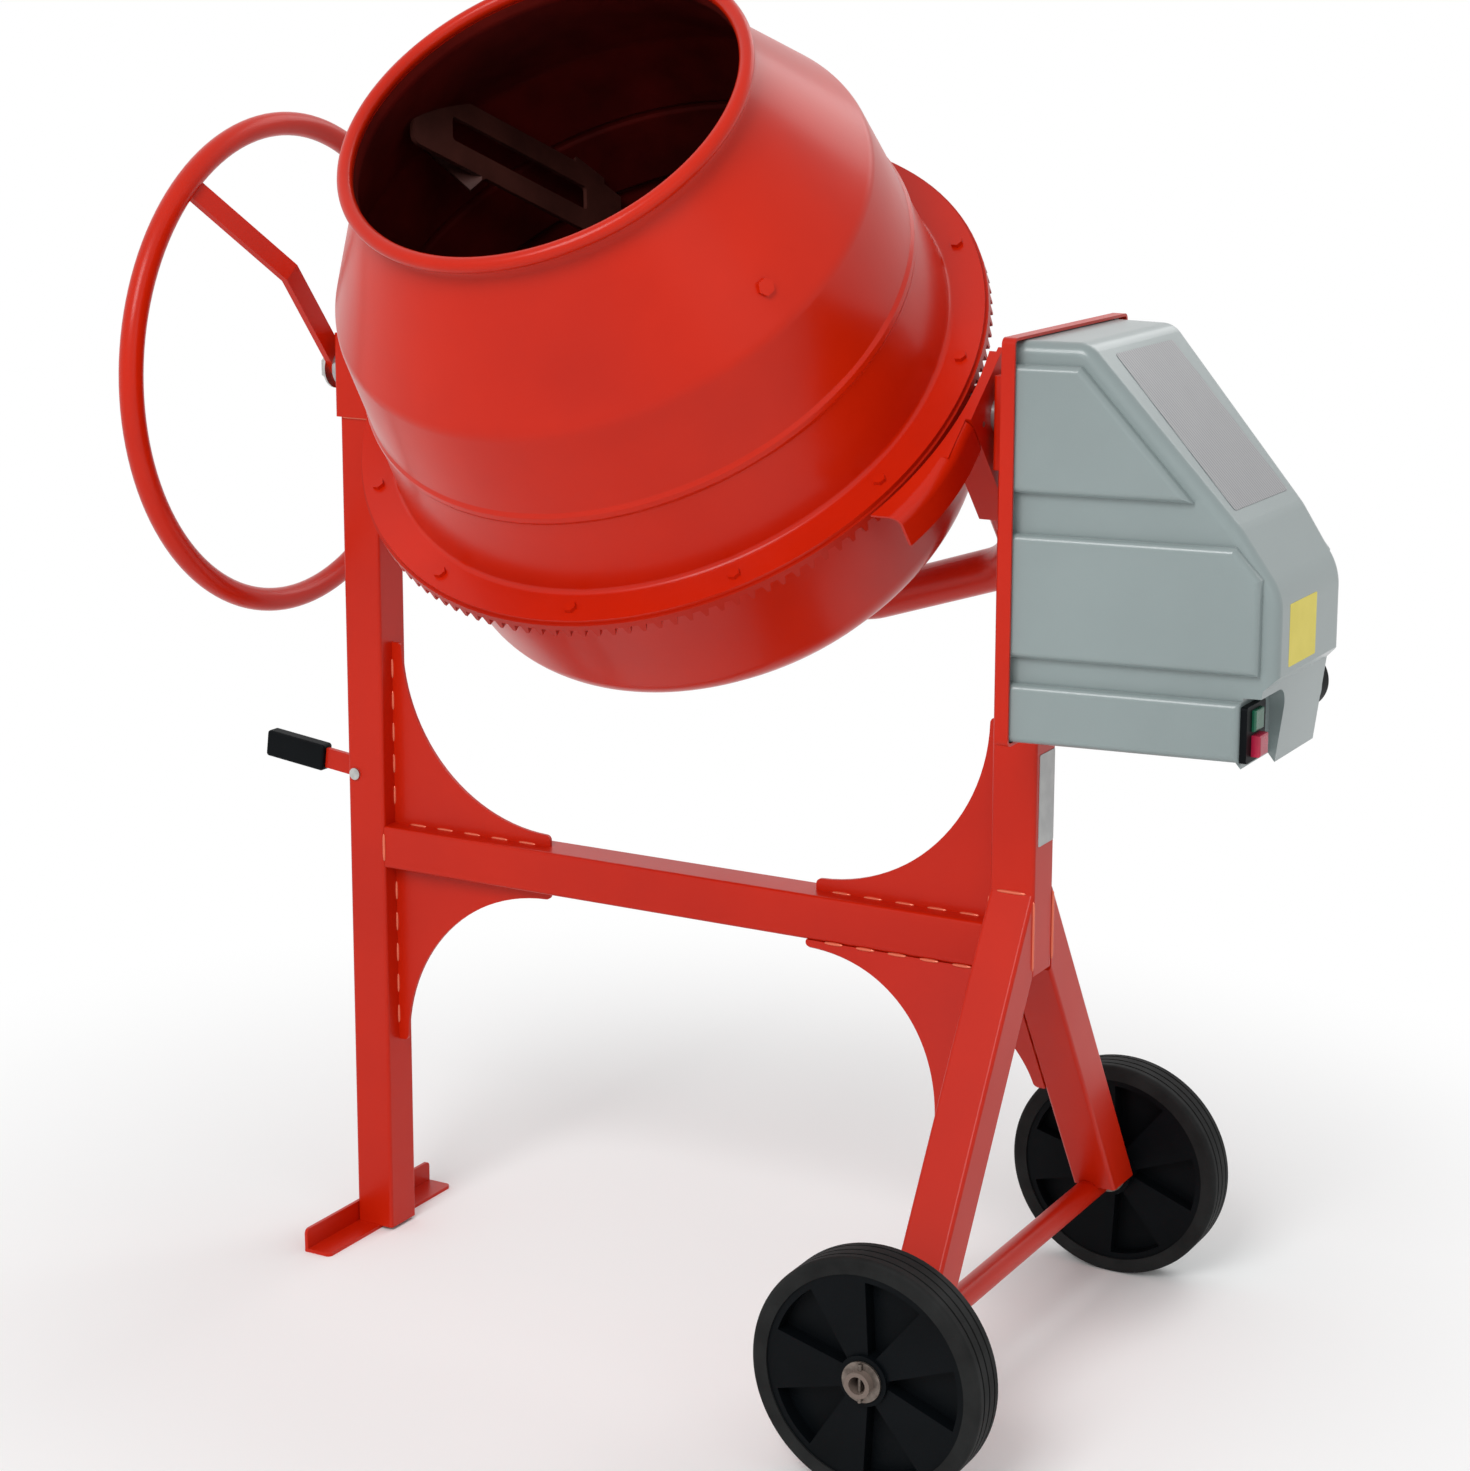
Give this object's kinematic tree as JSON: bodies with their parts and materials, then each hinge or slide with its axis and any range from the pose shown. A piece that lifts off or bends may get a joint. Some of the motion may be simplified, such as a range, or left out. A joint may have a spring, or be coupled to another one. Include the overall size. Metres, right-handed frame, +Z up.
{
  "type": "concrete mixer",
  "caption": "Tilting drum concrete mixer on a tubular frame with transport wheels, handwheel, crown gear drive and motor hood.",
  "frame": {"origin": "on the floor, under the middle of the left post's foot", "axes": "+X from the left post to the motor side, +Y away from the side the drum mouth tips to at rest, +Z up"},
  "size_m": [1.2835, 0.7865, 1.4879],
  "materials": {
    "red_paint": "gloss",
    "frame_paint": "gloss",
    "gear_paint": "satin",
    "hood_grey": "satin",
    "tyre_rubber": "matt",
    "wheel_plastic": "satin",
    "grip_plastic": "matt",
    "switch_plastic": "satin",
    "green_plastic": "gloss",
    "crimson_plastic": "gloss",
    "zinc_steel": "zinc plated",
    "bare_steel": "turned",
    "hub_bronze": "sintered",
    "pinion_iron": "cast",
    "motor_aluminium": "cast",
    "belt_rubber": "matt"
  },
  "bodies": {
    "frame": {"foot_angle": "frame_paint", "left_post": "frame_paint", "right_post": "frame_paint", "cross_beam": "frame_paint", "beam_gussets": "frame_paint", "leg_gussets": "frame_paint", "leg_front": "frame_paint", "leg_rear": "frame_paint", "saddles": "frame_paint", "trunnion_bushes": "hub_bronze", "axle": "frame_paint", "wheel_keepers": "zinc_steel", "hood_plate": "frame_paint", "motor_hood": "hood_grey", "hood_screws": "zinc_steel", "motor_housing": "motor_aluminium", "drive_belt": "belt_rubber", "switch_body": "switch_plastic", "power_inlet": "switch_plastic", "lever_pivot_pin": "zinc_steel"},
    "wheel_front": {"tyre_front": "tyre_rubber", "wheel_disc_front": "wheel_plastic", "wheel_bush_front": "hub_bronze"},
    "wheel_rear": {"tyre_rear": "tyre_rubber", "wheel_disc_rear": "wheel_plastic", "wheel_bush_rear": "hub_bronze"},
    "yoke": {"trunnion_left": "bare_steel", "trunnion_right": "bare_steel", "arm_bracket_left": "red_paint", "arm_bracket_right": "red_paint", "yoke_arm_left": "red_paint", "yoke_arm_right": "red_paint", "spindle_housing": "red_paint", "spindle_bearings": "bare_steel", "shaft_bushes": "hub_bronze", "pinion_guard": "red_paint", "guard_bolts": "zinc_steel", "handwheel_rim": "red_paint", "handwheel_spoke": "red_paint", "handwheel_bolt": "zinc_steel"},
    "drum": {"drum_belt": "red_paint", "drum_cone": "red_paint", "bowl_wall": "red_paint", "bowl_dish": "red_paint", "drum_bolts": "red_paint", "ring_gear": "gear_paint", "drum_spindle": "bare_steel", "spindle_nut": "zinc_steel", "paddle_a": "red_paint", "paddle_b": "red_paint"},
    "pinion_train": {"pinion": "pinion_iron", "pinion_shaft": "bare_steel", "driven_pulley": "motor_aluminium"},
    "motor_rotor": {"motor_pulley": "bare_steel", "motor_shaft": "bare_steel"},
    "tilt_lever": {"lock_lever": "red_paint", "lever_grip": "grip_plastic"},
    "locking_rod": {"lock_rod": "zinc_steel"},
    "start_key": {"start_button": "green_plastic"},
    "stop_key": {"stop_button": "crimson_plastic"}
  },
  "joints": [
    {"name": "drum_tilt", "type": "hinge", "parent": "frame", "child": "yoke", "pos_m": [0, 0, 1.035], "axis": [1, 0, 0], "range_deg": [-165.7, 84.3]},
    {"name": "drum_spin", "type": "hinge", "parent": "yoke", "child": "drum", "pos_m": [0.41, 0, 1.035], "axis": [0, -0.6521, 0.7581], "continuous": true},
    {"name": "pinion_spin", "type": "hinge", "parent": "yoke", "child": "pinion_train", "pos_m": [0, 0, 1.035], "axis": [1, 0, 0], "continuous": true},
    {"name": "rotor_spin", "type": "hinge", "parent": "frame", "child": "motor_rotor", "pos_m": [0.9, 0, 0.815], "axis": [1, 0, 0], "continuous": true},
    {"name": "front_wheel_spin", "type": "hinge", "parent": "frame", "child": "wheel_front", "pos_m": [0.817, -0.3165, 0.125], "axis": [0, 1, 0], "continuous": true},
    {"name": "rear_wheel_spin", "type": "hinge", "parent": "frame", "child": "wheel_rear", "pos_m": [0.817, 0.3165, 0.125], "axis": [0, 1, 0], "continuous": true},
    {"name": "lever_turn", "type": "hinge", "parent": "frame", "child": "tilt_lever", "pos_m": [-0.014, 0, 0.561], "axis": [0, -1, 0], "range_deg": [0, 21]},
    {"name": "rod_lift", "type": "slide", "parent": "frame", "child": "locking_rod", "axis": [0, 0, 1], "range_m": [0, 0.0092]},
    {"name": "start_press", "type": "slide", "parent": "frame", "child": "start_key", "axis": [-1, 0, 0], "range_m": [0, 0.003], "stiffness_N_per_m": 600},
    {"name": "stop_press", "type": "slide", "parent": "frame", "child": "stop_key", "axis": [-1, 0, 0], "range_m": [0, 0.003], "stiffness_N_per_m": 600}
  ],
  "couplings": [
    {"joint": "pinion_spin", "follows": "drum_spin", "ratio": -15},
    {"joint": "rotor_spin", "follows": "drum_spin", "ratio": -54},
    {"joint": "rod_lift", "follows": "lever_turn", "m_per_rad": 0.0251}
  ]
}
